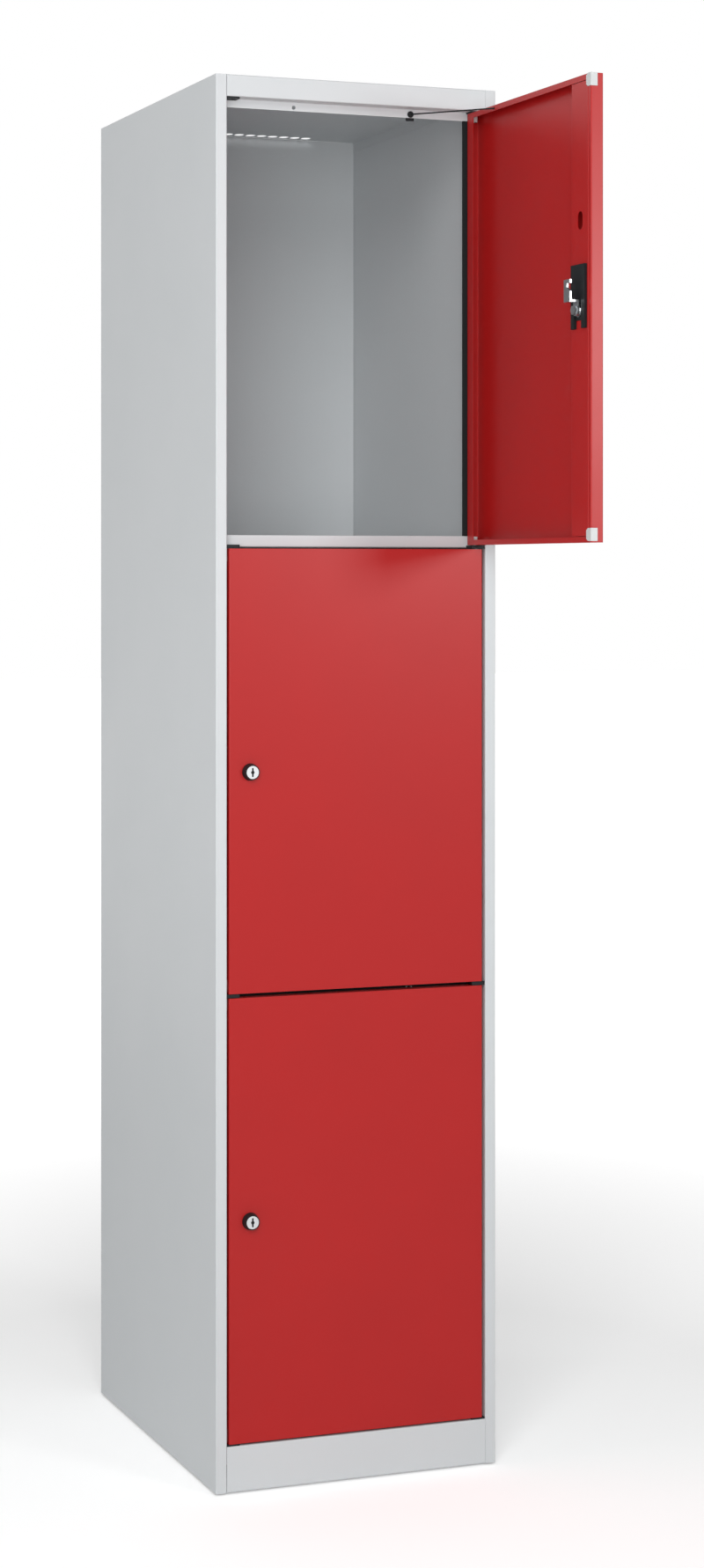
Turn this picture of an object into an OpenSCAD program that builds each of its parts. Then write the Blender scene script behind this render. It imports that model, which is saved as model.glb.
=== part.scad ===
// Compartment locker: a folded sheet steel carcass with three hinged doors, one above the other.
// Every door is a shallow pan on two pivot pins, with a cam lock and a nylon stay.
// Seen from the front: +X is right, -Y is towards the viewer, +Z is up, millimetres.
// The origin is on the floor, in the middle of the carcass.

/* [Carcass] */
// Overall width of the carcass
body_w = 420; // [340:1:600]
// Overall depth of the carcass
body_d = 540; // [400:1:700]
// Overall height, feet included
body_h = 1950; // [1500:1:2200]
// Thickness of the carcass sheet
sheet_t = 1; // [0.7:0.1:1.5]
// Bend radius of every fold, at the middle of the sheet
fold_r = 1.2; // [0.8:0.1:2]
// Width of a front post, seen from the front
post_w = 16; // [12:1:30]
// Height of the lintel's face
lintel_h = 30; // [20:1:60]
// Height of the plinth's top above the floor
plinth_top = 66; // [50:1:120]
// Distance from the front plane back to the face of the door stops
stop_recess = 22; // [21:0.5:34]
// How far a shelf's lower stop strip stands behind its upper one
gap_step = 6; // [3:0.5:8]
// How far a stop strip reaches into the door opening
strip_reach = 12; // [9:1:20]
// Inward reach of the stop flange on the lock side
lock_flange = 7; // [4:1:10]
// How far the lock-side flange's own lip reaches back
lock_lip = 10; // [6:1:14]
// Inward reach of the stop flange on the hinge side
hinge_flange = 24; // [20:1:40]
// Inward reach of the side panels' rear flanges
rear_flange = 14; // [8:1:30]
// Fold-down of shelves, floor and roof where they are welded to the sides
weld_flange = 15; // [8:1:25]
// Gap between two sheets that are welded side by side
seam = 0.1; // [0.05:0.05:0.3]

/* [Ventilation] */
// Width of one ventilation slot
slot_w = 15; // [8:1:20]
// Length of one ventilation slot, front to back
slot_l = 20; // [10:1:30]
// Distance from one slot's middle to the next
slot_pitch = 18.5; // [18:0.5:30]
// Number of slots in a row
slot_count = 14; // [5:1:15]
// Distance from the back of the carcass to the middle of the row
slot_from_back = 20; // [18:1:120]

/* [Doors] */
// Thickness of a door pan
door_t = 18; // [16:0.5:20]
// Thickness of the door sheet
door_sheet = 1; // [0.7:0.1:1.2]
// Outer radius of the door's long edges
door_edge_r = 1.7; // [1.3:0.1:3]
// Gap between a door's free edge and the post
free_gap = 3; // [2:0.5:5]
// Gap between a door's hinge edge and the post
hinge_gap = 4.5; // [3:0.5:7]
// Gap above the top door and below the bottom door
end_gap = 3; // [2.5:0.1:5]
// Width of the lip along the top and bottom of a door's inner side
end_lip = 7.5; // [7:0.5:12]
// Width of the lip along the hinge side
hinge_lip = 20; // [16:1:30]
// Width of the lip along the free edge
free_lip = 7; // [4:0.5:12]
// Width of the stiffening channel beside the free edge
stiffener_w = 49; // [46:1:80]
// Opening angle of the top door as drawn
top_door_angle = 91; // [0:0.5:92]

/* [Hinges] */
// Distance from the hinge edge of a door to its pivot axis
pivot_in = 7.5; // [6.5:0.5:9]
// Distance from the front plane back to the pivot axis
pivot_back = 9.5; // [9:0.1:10]
// Diameter of a pivot pin
pin_d = 5; // [4:0.5:6]
// Radial clearance of the pin in its bushing
pin_clear = 0.05; // [0.02:0.01:0.1]
// How far a pin reaches into a door
pin_reach = 12; // [8:1:18]
// Length of a bearing plate, and its width
plate_l = 20; // [14:1:24]
// Gap between a bushing and its bearing plate
bush_gap = 0.3; // [0.2:0.1:0.5]
// Diameter of the bushing's flange
bush_d = 11; // [9:0.5:12]
// Diameter of the bushing's body
bush_body_d = 8; // [7:0.5:8.5]

/* [Locks] */
// Distance from a door's free edge to the lock's axis
lock_in = 31; // [29:1:36]
// Diameter of the rosette where it meets the door
rosette_d = 24; // [22:1:30]
// How far the rosette stands out from the door
rosette_h = 10; // [6:0.5:14]
// Outer diameter of the lock barrel
barrel_d = 18; // [16:0.5:20]
// Diameter of the turning plug
plug_d = 12; // [9:0.5:13]
// Length of the cam from the lock's axis to its tip
cam_l = 40; // [40:1:50]
// Width of the cam's arm
cam_w = 12; // [8:1:16]
// Thickness of the cam plate
cam_t = 3; // [1.5:0.1:3]
// Width of the cam guard
guard_w = 39; // [39:1:48]
// Height of the cam guard
guard_h = 84; // [80:1:110]

/* [Stay and trim] */
// Diameter of the stay cord
cord_d = 2; // [1.5:0.1:2.5]
// Distance from the pivot axis to the stay's hole in the door lip
stay_out = 81; // [60:1:110]
// Distance from the pivot axis to the stay's anchor on the stop strip
anchor_out = 94; // [80:1:120]
// Diameter of the anchor's head
anchor_d = 9; // [7:0.5:9.5]
// Height of a corner cap
cap_l = 17; // [12:1:20]
// Reach of a corner cap along the door's inner side
cap_in = 12; // [9:1:16]
// Width of the seal along the hinge-side stop flange
seal_w = 8; // [5:0.5:9]

/* [Feet] */
// Clear height of the carcass above the floor
foot_clear = 3; // [2.5:0.5:8]
// Diameter of a levelling foot's pad
foot_d = 24; // [18:1:30]
// Diameter of a levelling foot's screw
foot_screw_d = 8; // [6:1:10]
// Distance from a foot's middle to the outside of the carcass
foot_inset = 30; // [24:1:50]

/* [Hidden] */
$fn = 48;

GREY = "#C9CDCE";
RED = "#B83230";
BLACK = "#222426";
WHITE = "#E4E6E4";
CHROME = "#C8CACC";

// A little more than nothing, so that a cut runs past the face it opens.
over = 0.5;
TOP = 2;
MIDDLE = 1;
BOTTOM = 0;

// Door openings, counted from the bottom, and the doors in them.
lintel_z = body_h - lintel_h;
mid_gap = 2 * end_gap;
door_h = (lintel_z - plinth_top - 2 * end_gap - 2 * mid_gap) / 3;
door_pitch = door_h + mid_gap;
door_w = body_w - 2 * post_w - free_gap - hinge_gap;
door_free = door_w - pivot_in;
door_front = -pivot_back;
door_back = door_t - pivot_back;
axis_x = body_w - post_w - hinge_gap - pivot_in;
function door_z(level) = plinth_top + end_gap + level * door_pitch;

// Shelves lie behind the gaps between the doors.
shelf_below = 11;
shelf_above = 16;
step_below = 0.6;
function gap_z(level) = door_z(level) - mid_gap / 2;
function shelf_top(level) = gap_z(level) + shelf_above;
function strip_bottom(level) = level > TOP ? lintel_z - strip_reach : gap_z(level) - shelf_below;
floor_top = plinth_top + strip_reach;

// Bearing plates fill the gaps, apart from the bushings' flanges and their running gaps.
bush_flange_h = 0.3;
plate_t = end_gap - bush_flange_h - bush_gap;

// The lock, in a door's own frame.
lock_x = -(door_free - lock_in);
lock_z = door_h / 2 - 1.5;
barrel_clear = 0.1;
face_t = 2;
plug_clear = 0.05;
cam_gap = 1.5;
guard_t = 4;
guard_above = 60;
guard_cover = 45.5;
guard_below_cover = guard_above - guard_cover;
cam_seat = door_back + guard_t + 0.3;
cam_front = stop_recess + lock_lip + cam_gap - pivot_back;
keyway_l = 12.7;
keyway_w = 2.4;
keyway_eye = 5;
keyway_depth = 1.4;

// Half a sheet, and the distance from a folded corner's outside to where its flat begins.
half_t = sheet_t / 2;
flat_from = half_t + fold_r;

// Places drawn from the front left corner of the carcass instead of from its middle.
module from_corner() {
    translate([-body_w / 2, -body_d / 2, 0]) children();
}

function unit(v) = v / norm(v);

// A block between two opposite corners.
module block(low, high) {
    translate(low) cube(high - low);
}

// The same child on both sides of the carcass.
module both_sides() {
    children();
    translate([body_w, 0, 0]) mirror([1, 0, 0]) children();
}

// A round hole or rod along the depth, from one depth to another.
module along_depth(x, z, from, to, d) {
    translate([x, from, z]) rotate([-90, 0, 0]) cylinder(d = d, h = to - from);
}

// A slot with round ends, standing upright.
module upright_slot(x, z, from, to, w, l) {
    translate([x, from, z]) rotate([-90, 0, 0]) linear_extrude(to - from) {
        square([w, l - w], center = true);
        translate([0, (l - w) / 2]) circle(d = w);
        translate([0, (w - l) / 2]) circle(d = w);
    }
}

// The flats of a folded sheet's section. Its middle line follows a path of right angles.
module flats(path, t) {
    n = len(path);
    for (i = [0 : n - 2]) {
        way = unit(path[i + 1] - path[i]);
        from = path[i] + way * (i > 0 ? fold_r : 0);
        to = path[i + 1] - way * (i < n - 2 ? fold_r : 0);
        side = [-way[1], way[0]] * t / 2;
        polygon([from + side, to + side, to - side, from - side]);
    }
}

// The bends between those flats.
module bends(path, t) {
    for (i = [1 : len(path) - 2]) {
        back = unit(path[i] - path[i - 1]);
        ahead = unit(path[i] - path[i + 1]);
        reach = fold_r + t;
        translate(path[i] - fold_r * (back + ahead))
            intersection() {
                difference() {
                    circle(r = fold_r + t / 2);
                    circle(r = fold_r - t / 2);
                }
                polygon([[0, 0], back * reach, (back + ahead) * reach, ahead * reach]);
            }
    }
}

module fold(path, length, t = sheet_t) {
    union() {
        linear_extrude(length) flats(path, t);
        linear_extrude(length) bends(path, t);
    }
}

// Folded sheets that stand upright, run across the carcass, or run from front to back.
module fold_up(path, low, high, t = sheet_t) {
    translate([0, 0, low]) fold(path, high - low, t);
}

module fold_across(path, left, right) {
    translate([left, 0, 0]) rotate([90, 0, 90]) fold(path, right - left);
}

module fold_back(path, front, back) {
    translate([0, back, 0]) rotate([90, 0, 0]) fold(path, back - front);
}

// Where a door's frame lies in the carcass, with the door closed.
module door_frame(level) {
    from_corner()
        translate([axis_x, pivot_back, door_z(level)])
            rotate([0, 0, level == TOP ? top_door_angle : 0])
                children();
}

// Carcass

// One row of ventilation slots near the back of a sheet.
module vent_row(z_low, z_high) {
    row = (slot_count - 1) * slot_pitch;
    for (i = [0 : slot_count - 1])
        translate([body_w / 2 - row / 2 + i * slot_pitch, body_d - slot_from_back, z_low])
            linear_extrude(z_high - z_low) {
                square([slot_w, slot_l - slot_w], center = true);
                translate([0, (slot_l - slot_w) / 2]) circle(d = slot_w);
                translate([0, (slot_w - slot_l) / 2]) circle(d = slot_w);
            }
}

// A left-hand side panel: the side with its post and rear flange is one fold, and each compartment's stop
// flange is folded on from the post. A lip of no length leaves the flange's edge plain.
module side_panel(flange, lip) {
    inner = post_w - half_t;
    stop = stop_recess + half_t;
    flange_end = post_w + flange;
    tuck = 0.8 * sheet_t;
    difference() {
        union() {
            fold_up([
                [rear_flange, body_d - half_t], [half_t, body_d - half_t], [half_t, half_t],
                [inner, half_t], [inner, stop - fold_r]
            ], foot_clear, body_h);
            // The post's top, and its straight edge behind the shelf strips.
            block([tuck, tuck, body_h - sheet_t], [post_w - tuck, stop_recess, body_h]);
            block([post_w - sheet_t, stop - fold_r - seam, foot_clear], [post_w, stop_recess + sheet_t, floor_top]);
            for (level = [MIDDLE, TOP])
                block([post_w - sheet_t, stop - fold_r - seam, strip_bottom(level)],
                      [post_w, stop_recess + sheet_t, shelf_top(level)]);
            for (level = [BOTTOM : TOP]) {
                low = level == BOTTOM ? floor_top : shelf_top(level);
                high = strip_bottom(level + 1);
                start = [[inner, stop - fold_r - seam], [inner, stop]];
                rest = lip > 0
                    ? [[flange_end - half_t, stop], [flange_end - half_t, stop_recess + lip]]
                    : [[flange_end, stop]];
                fold_up(concat(start, rest), low + seam, high - seam);
            }
        }
        // The post stays clear of the sheets that are welded against it.
        block([post_w - sheet_t - over, stop_recess - over, lintel_z], [post_w + over, body_d / 2, body_h + over]);
    }
}

module left_side_panel() {
    color(GREY) from_corner() side_panel(lock_flange, lock_lip);
}

module right_side_panel() {
    color(GREY) from_corner() translate([body_w, 0, 0]) mirror([1, 0, 0]) side_panel(hinge_flange, 0);
}

module back_panel() {
    near = body_d - 2 * sheet_t - seam;
    low = foot_clear;
    // The panel ends where the sides' bends begin.
    left = flat_from + seam;
    color(GREY) from_corner()
        block([left, near, low], [body_w - left, near + sheet_t, body_h - sheet_t - seam]);
}

// The depth at which sheets stop short of the back panel.
rear_stop = body_d - 2 * sheet_t - 2 * seam;

stay_hole_d = 5.5;
stay_below_top = 4.2;
stay_lip_hole_d = cord_d + 2.6;
function stay_z(level) = door_z(level) + door_h - stay_below_top;

// The depth of the strip that carries a door's stay: below the lintel, or below a shelf's step.
function stay_face(level) = level == TOP ? stop_recess : stop_recess + gap_step;

// Holes through a door's stop strip for its stay, on either hand.
module stay_holes(level) {
    face = stay_face(level);
    both_sides()
        along_depth(body_w - axis_x + anchor_out, stay_z(level), face - over, face + sheet_t + over, stay_hole_d);
}

// The outer parts of a deck behind the posts, with the flanges that are welded to the sides.
module deck_sides(top, front) {
    side = sheet_t + seam + half_t;
    both_sides()
        fold_back([[side, top - weld_flange], [side, top - half_t], [post_w + sheet_t, top - half_t]],
                  front, rear_stop);
}

module roof_panel() {
    left = post_w + seam;
    color(GREY) from_corner()
        difference() {
            union() {
                fold_across([
                    [rear_stop, body_h - half_t], [half_t, body_h - half_t], [half_t, lintel_z + half_t],
                    [stop_recess + half_t, lintel_z + half_t], [stop_recess + half_t, strip_bottom(TOP + 1)]
                ], left, body_w - left);
                deck_sides(body_h, stop_recess + seam);
            }
            vent_row(body_h - sheet_t - over, body_h + over);
            stay_holes(TOP);
        }
}

// A shelf: its deck with a flange at the back, the stop strip of the door above it, a step back in the gap
// between the doors, and the stop strip of the door below with its own return.
module shelf(level) {
    left = post_w + seam;
    top = shelf_top(level);
    low = strip_bottom(level);
    step_z = gap_z(level) - step_below;
    upper = stop_recess + half_t;
    lower = upper + gap_step;
    color(GREY) from_corner()
        difference() {
            union() {
                fold_across([
                    [rear_stop - half_t, top - weld_flange], [rear_stop - half_t, top - half_t],
                    [upper, top - half_t], [upper, step_z + half_t],
                    [lower, step_z + half_t], [lower, low + half_t], [lower + weld_flange, low + half_t]
                ], left, body_w - left);
                deck_sides(top, stop_recess + sheet_t + seam);
            }
            vent_row(top - sheet_t - over, top + over);
            stay_holes(level - 1);
        }
}

module shelf_upper() {
    shelf(TOP);
}

module shelf_lower() {
    shelf(MIDDLE);
}

// The floor lies behind the plinth's stop strip, with flanges folded down at its front and back.
module floor_panel() {
    left = post_w + seam;
    front = stop_recess + sheet_t + seam;
    color(GREY) from_corner()
        difference() {
            union() {
                fold_across([
                    [rear_stop - half_t, floor_top - weld_flange], [rear_stop - half_t, floor_top - half_t],
                    [front + half_t, floor_top - half_t], [front + half_t, floor_top - weld_flange]
                ], left, body_w - left);
                deck_sides(floor_top, front);
            }
            vent_row(floor_top - sheet_t - over, floor_top + over);
        }
}

// The plinth: a return along the bottom, its face, the sill above it and the stop strip.
module plinth_front() {
    left = post_w + seam;
    color(GREY) from_corner()
        fold_across([
            [weld_flange, foot_clear + half_t], [half_t, foot_clear + half_t], [half_t, plinth_top - half_t],
            [stop_recess + half_t, plinth_top - half_t], [stop_recess + half_t, floor_top]
        ], left, body_w - left);
}

// A channel across the back that carries the floor and the rear feet.
module rear_cross_member() {
    top = floor_top - sheet_t - seam;
    back = rear_stop - sheet_t - seam;
    reach = 30;
    left = sheet_t + flat_from + 2 * seam;
    color(GREY) from_corner()
        difference() {
            fold_across([
                [back - reach, foot_clear + half_t], [back - half_t, foot_clear + half_t],
                [back - half_t, top - half_t], [back - reach, top - half_t]
            ], left, body_w - left);
            for (p = foot_places())
                translate([p[0], p[1], foot_clear - over]) cylinder(d = foot_screw_d + 1, h = sheet_t + 2 * over);
        }
}

// Hinges

pin_seat = 0.02;

// A pair of bearing plates, one on either hand, so that a door can hang on either side.
module hinge_plates(low, high) {
    color(BLACK) from_corner() both_sides()
        difference() {
            translate([0, 0, low]) linear_extrude(high - low) {
                corner_r = 3;
                x0 = post_w + seam;
                y0 = 1.5;
                // The plate stops where the sheet behind it starts to bend.
                deep = stop_recess + half_t - fold_r - y0;
                translate([x0, y0]) square([plate_l - corner_r, deep]);
                translate([x0, y0 + corner_r]) square([plate_l, deep - corner_r]);
                translate([x0 + plate_l - corner_r, y0 + corner_r]) circle(r = corner_r);
            }
            translate([body_w - axis_x, pivot_back, low - over])
                cylinder(d = pin_d + 2 * pin_seat, h = high - low + 2 * over);
        }
}

module hinge_plates_top() {
    hinge_plates(lintel_z - plate_t, lintel_z - seam / 2);
}

module hinge_plates_upper() {
    hinge_plates(gap_z(TOP) - plate_t, gap_z(TOP) + plate_t);
}

module hinge_plates_lower() {
    hinge_plates(gap_z(MIDDLE) - plate_t, gap_z(MIDDLE) + plate_t);
}

module hinge_plates_bottom() {
    hinge_plates(plinth_top + seam / 2, plinth_top + plate_t);
}

// Four steel pins on one axis. The two in the middle each serve two doors.
module hinge_pins() {
    ends = [
        [plinth_top + seam, door_z(BOTTOM) + pin_reach],
        [door_z(BOTTOM) + door_h - pin_reach, door_z(MIDDLE) + pin_reach],
        [door_z(MIDDLE) + door_h - pin_reach, door_z(TOP) + pin_reach],
        [door_z(TOP) + door_h - pin_reach, lintel_z - seam]
    ];
    tip = pin_d / 5;
    color(CHROME) from_corner()
        for (pin = ends)
            translate([axis_x, pivot_back, pin[0]])
                rotate_extrude()
                    polygon([
                        [0, 0], [pin_d / 2 - tip, 0], [pin_d / 2, tip], [pin_d / 2, pin[1] - pin[0] - tip],
                        [pin_d / 2 - tip, pin[1] - pin[0]], [0, pin[1] - pin[0]]
                    ]);
}

// White bushings in the top and bottom of a door.
module bushings() {
    for (top = [0, 1])
        translate([0, 0, top * door_h]) mirror([0, 0, top])
            difference() {
                union() {
                    translate([0, 0, -bush_flange_h]) cylinder(d = bush_d, h = bush_flange_h - seam / 2);
                    translate([0, 0, -bush_flange_h]) cylinder(d = bush_body_d, h = pin_reach + bush_flange_h);
                }
                translate([0, 0, -bush_flange_h - over])
                    cylinder(d = pin_d + 2 * pin_clear, h = pin_reach + bush_flange_h + 2 * over);
            }
}

// Doors, drawn in their own frame: the pivot axis is Z, the free edge lies at -X, the inside at +Y.

bush_hole_clear = 0.05;

// The plan of a door, or of its hollow, with rounded edges.
module door_plan(inset) {
    r = door_edge_r - inset;
    low = [-door_free + inset, door_front + inset];
    high = [pivot_in - inset, door_back - inset];
    size = high - low;
    translate(low + [r, 0]) square(size - [2 * r, 0]);
    translate(low + [0, r]) square(size - [0, 2 * r]);
    for (x = [low[0] + r, high[0] - r])
        for (y = [low[1] + r, high[1] - r])
            translate([x, y]) circle(r = r);
}

module door_panel() {
    s = door_sheet;
    lock_bore = barrel_d + 2 * barrel_clear;
    difference() {
        linear_extrude(door_h) door_plan(0);
        translate([0, 0, s]) linear_extrude(door_h - 2 * s) door_plan(s);
        block([-door_free + free_lip, 0, end_lip],
              [pivot_in - hinge_lip, door_back + over, door_h - end_lip]);
        along_depth(lock_x, lock_z, door_front - over, 0, lock_bore);
        along_depth(-stay_out, door_h - stay_below_top, 0, door_back + over, stay_lip_hole_d);
        for (top = [0, 1])
            translate([0, 0, top * door_h - 2])
                cylinder(d = bush_body_d + 2 * bush_hole_clear, h = 4);
    }
}

// The channel beside the free edge, which stiffens the door and carries the lock.
module door_stiffener() {
    s = door_sheet;
    near = -door_free + free_lip + seam;
    far = near + stiffener_w;
    // A narrow shadow gap stays open between the channel's ends and the lips.
    end_clear = 1;
    low = end_lip + end_clear;
    high = door_h - end_lip - end_clear;
    eye_up = 118;
    eye_w = 14;
    eye_l = 24;
    bore = barrel_d + 2 * barrel_clear;
    foot = door_front + s + seam;
    difference() {
        fold_up([
            [near + s / 2, foot], [near + s / 2, door_back - s / 2],
            [far - s / 2, door_back - s / 2], [far - s / 2, foot]
        ], low, high, s);
        along_depth(lock_x, lock_z, 0, door_back + over, bore);
        upright_slot(lock_x, lock_z + eye_up, 0, door_back + over, eye_w, eye_l);
    }
}

// The buffer caps on the two corners of the free edge.
module corner_caps() {
    wall = 1;
    rise = 0.3;
    clear = 0.1;
    shown = 0.5 * door_t;
    cut_x = 5;
    cut_z = 3;
    for (top = [0, 1]) {
        low = top == 1 ? door_h - cap_l : wall + 1;
        high = top == 1 ? door_h + rise : low + cap_l;
        difference() {
            translate([-door_free - wall, door_front + shown, low])
                linear_extrude(high - low) square([cap_in + wall, door_t - shown + wall]);
            translate([-door_free - clear, door_front - over, -over])
                cube([door_w, door_t + over + clear, door_h + over + clear / 2]);
            // The corners inside the door are cut off at a slant.
            for (z = [low, high])
                translate([-door_free + cap_in, door_back + wall + over, z])
                    rotate([90, 0, 0]) linear_extrude(2 * wall)
                        polygon([[-cut_x, 0], [over, cut_z], [over, -cut_z]]);
        }
    }
}

module lock_rosette() {
    wall_top = 1.2;
    difference() {
        translate([lock_x, door_front - seam, lock_z]) rotate([90, 0, 0])
            cylinder(d1 = rosette_d, d2 = barrel_d + 2 * wall_top, h = rosette_h);
        along_depth(lock_x, lock_z, door_front - rosette_h - over, door_front + over, barrel_d + 2 * barrel_clear);
    }
}

// The fixed barrel, through the door and the stiffener, with the bore that the plug turns in.
module lock_barrel() {
    behind = 3;
    bore = plug_d + 2 * plug_clear;
    difference() {
        along_depth(lock_x, lock_z, door_front - rosette_h + face_t, door_back + behind, barrel_d);
        along_depth(lock_x, lock_z, door_front - rosette_h, door_back + behind + over, bore);
    }
}

// The turning plug: its round face with the keyway, and the shaft that ends in the cam's seat.
module lock_plug() {
    face_d = barrel_d - 0.4;
    front = door_front - rosette_h + face_t - 0.1;
    difference() {
        union() {
            along_depth(lock_x, lock_z, front - face_t, front, face_d);
            along_depth(lock_x, lock_z, front - seam, cam_seat - seam, plug_d);
        }
        along_depth(lock_x, lock_z, front - face_t - over, front - face_t + keyway_depth, keyway_eye);
        upright_slot(lock_x, lock_z, front - face_t - over, front - face_t + keyway_depth, keyway_w, keyway_l);
    }
}

// The cam: a hub held by a hexagon nut, an arm that is cranked away from the door, and a hooked tip.
module lock_cam() {
    hub_d = 15;
    nut_d = 13;
    nut_h = 4;
    crank_at = guard_below_cover - 1;
    near = -cam_w / 2;
    tip_w = 17;
    hook_h = 4.7;
    notch_l = 11;
    notch_back = 5.2;
    notch_in = 8.7;
    back = cam_front + cam_t;
    translate([lock_x, 0, lock_z]) {
        along_depth(0, 0, cam_seat, cam_seat + cam_t, hub_d);
        translate([0, cam_seat + cam_t - seam, 0]) rotate([-90, 0, 0]) cylinder(d = nut_d, h = nut_h + seam, $fn = 6);
        block([near, cam_seat, 0], [cam_w / 2, cam_seat + cam_t, crank_at]);
        block([near, cam_seat, crank_at - cam_t], [cam_w / 2, back, crank_at]);
        // The tip's notch opens towards the door's free edge, below the hook.
        translate([0, back, 0]) rotate([90, 0, 0]) linear_extrude(cam_t)
            polygon([
                [near, crank_at - cam_t], [near + tip_w, crank_at - cam_t], [near + tip_w, cam_l], [near, cam_l],
                [near, cam_l - hook_h], [near + notch_in, cam_l - hook_h],
                [near + notch_in, cam_l - hook_h - notch_back], [near, cam_l - hook_h - notch_l]
            ]);
    }
}

// The black guard over the cam's upper swing: a cover above, two rails beside the lock and a thin web behind it.
module cam_guard() {
    rail = 9.5;
    web_t = 1.5;
    web_drop = 13;
    low = lock_z + guard_above - guard_h;
    left = lock_x - guard_w / 2;
    difference() {
        block([left, door_back + seam, low], [left + guard_w, door_back + guard_t, low + guard_h]);
        block([left + rail, door_back + web_t, low - over],
              [left + guard_w - rail, door_back + guard_t + over, low + guard_h - guard_cover]);
        block([left + rail, door_back - over, low - over],
              [left + guard_w - rail, door_back + web_t + over, lock_z - web_drop]);
        along_depth(lock_x, lock_z, door_back - over, door_back + web_t + over, barrel_d + 6 * barrel_clear);
    }
}

// Anchors, stays and seals

head_t = 2.5;
module stay_anchors() {
    clip_w = 12;
    clip_t = 1.5;
    clip_drop = 9;
    rim = 0.6;
    shank = stay_hole_d - 0.3;
    color(BLACK) from_corner()
        for (level = [BOTTOM : TOP]) {
            // Only the top strip has no return that would be in the clip's way.
            room = stay_z(level) - strip_bottom(level + 1) - sheet_t - 3 * seam;
            drop = level == TOP ? clip_drop : min(clip_drop, room);
            translate([axis_x - anchor_out, stay_face(level), stay_z(level)]) {
                rotate([90, 0, 0]) {
                    translate([0, 0, seam]) cylinder(d = anchor_d, h = head_t - rim - seam);
                    translate([0, 0, head_t - rim]) cylinder(d1 = anchor_d, d2 = anchor_d - 2 * rim, h = rim);
                }
                rotate([-90, 0, 0]) translate([0, 0, -seam]) cylinder(d = shank, h = 4 + seam);
                // The clip behind the strip that keeps the anchor from pulling out, and shows below it.
                translate([-clip_w / 2, sheet_t + seam, -drop]) cube([clip_w, clip_t, drop + shank / 2]);
            }
        }
}

// A tube of eight sides along a route, with one radius for each of its points.
cord_sides = 8;
function heading(p, i) = unit(p[min(i + 1, len(p) - 1)] - p[max(i - 1, 0)]);
module tube(p, radii) {
    n = len(p);
    // Rings keep one sense of turn, because every side is taken from the same fixed direction.
    rings = [
        for (i = [0 : n - 1])
            let (t = heading(p, i), a = unit(cross(t, [0.37, 0.21, 0.9])), b = cross(t, a))
                for (k = [0 : cord_sides - 1])
                    p[i] + radii[i] * (cos(k * 360 / cord_sides) * a + sin(k * 360 / cord_sides) * b)
    ];
    sides = [
        for (i = [0 : n - 2])
            for (k = [0 : cord_sides - 1])
                let (q = (k + 1) % cord_sides)
                    each [
                        [i * cord_sides + k, (i + 1) * cord_sides + k, (i + 1) * cord_sides + q],
                        [i * cord_sides + k, (i + 1) * cord_sides + q, i * cord_sides + q]
                    ]
    ];
    first = [for (k = [0 : cord_sides - 1]) k];
    last = [for (k = [cord_sides - 1 : -1 : 0]) (n - 1) * cord_sides + k];
    polyhedron(points = rings, faces = concat(sides, [first], [last]), convexity = 4);
}

// The stay of the open top door runs straight from the anchor's rim through the door's lip.
knot_r = 2.6;
module stay_cord_top() {
    a = top_door_angle;
    z = stay_z(TOP);
    // The cord crosses the lip's hole at the middle of the sheet.
    at = door_back - door_sheet / 2;
    lip = [axis_x - stay_out * cos(a) - at * sin(a), pivot_back - stay_out * sin(a) + at * cos(a), z];
    anchor = [axis_x - anchor_out, stop_recess - head_t, z];
    way = unit(lip - anchor);
    start = anchor + way * 1.4;
    // The knot sits behind the lip, and the cord leaves it by another knot's length.
    knot_at = 4.8;
    color(BLACK) from_corner()
        tube([for (u = [0, 4]) start + way * u, for (u = [-4, knot_at - 0.8, knot_at, knot_at + 1.5, knot_at + 3, knot_at + 4])
                  lip + way * u],
             [1, 1, 1, 1, knot_r, knot_r, knot_r, 1] * cord_d / 2);
}

// The stay of a closed door: across to the lip, through its hole, and down inside the door.
stay_route = [
    [4.9, gap_step - 1.3, 0], [7.2, gap_step - 1.6, 0], [9.8, 3.2, 0], [11.8, 1.2, 0], [12.8, -1.6, 0], [13, -4.6, 0],
    [13, -7, -0.3], [13, -9.4, -2.2], [13, -11, -6], [13, -11.6, -11], [13.4, -11.4, -20], [14.2, -11.2, -32],
    [14.8, -11.2, -45], [14.6, -11.3, -58], [14, -11.4, -71], [13.6, -11.5, -84], [13.5, -11.5, -94],
    [13.5, -11.5, -111]
];
module stay_cord(level) {
    start = [axis_x - anchor_out, stop_recess, stay_z(level)];
    n = len(stay_route);
    drop = stay_route[n - 1];
    route = concat(stay_route, [drop - [0, 0, 1], drop - [0, 0, 2.5], drop - [0, 0, 4], drop - [0, 0, 5]]);
    swell = concat([for (i = [1 : n]) 1], [knot_r, knot_r, knot_r, 1]);
    color(BLACK) from_corner() tube([for (p = route) start + p], swell * cord_d / 2);
}

module stay_cord_middle() {
    stay_cord(MIDDLE);
}

module stay_cord_bottom() {
    stay_cord(BOTTOM);
}

// A black profile pressed over the edge of the hinge-side stop flange of each compartment.
module door_seals() {
    wall = 1.2;
    edge = body_w - post_w - hinge_flange;
    clear = 0.1;
    color(BLACK) from_corner()
        for (level = [BOTTOM : TOP]) {
            low = level == BOTTOM ? floor_top : shelf_top(level);
            difference() {
                block([edge - wall, stop_recess - wall, low + seam],
                      [edge - wall + seal_w, stop_recess + sheet_t + wall, strip_bottom(level + 1) - seam]);
                block([edge - clear, stop_recess - clear, low - over],
                      [edge + seal_w + over, stop_recess + sheet_t + clear, strip_bottom(level + 1) + over]);
            }
        }
}

// Feet

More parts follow.
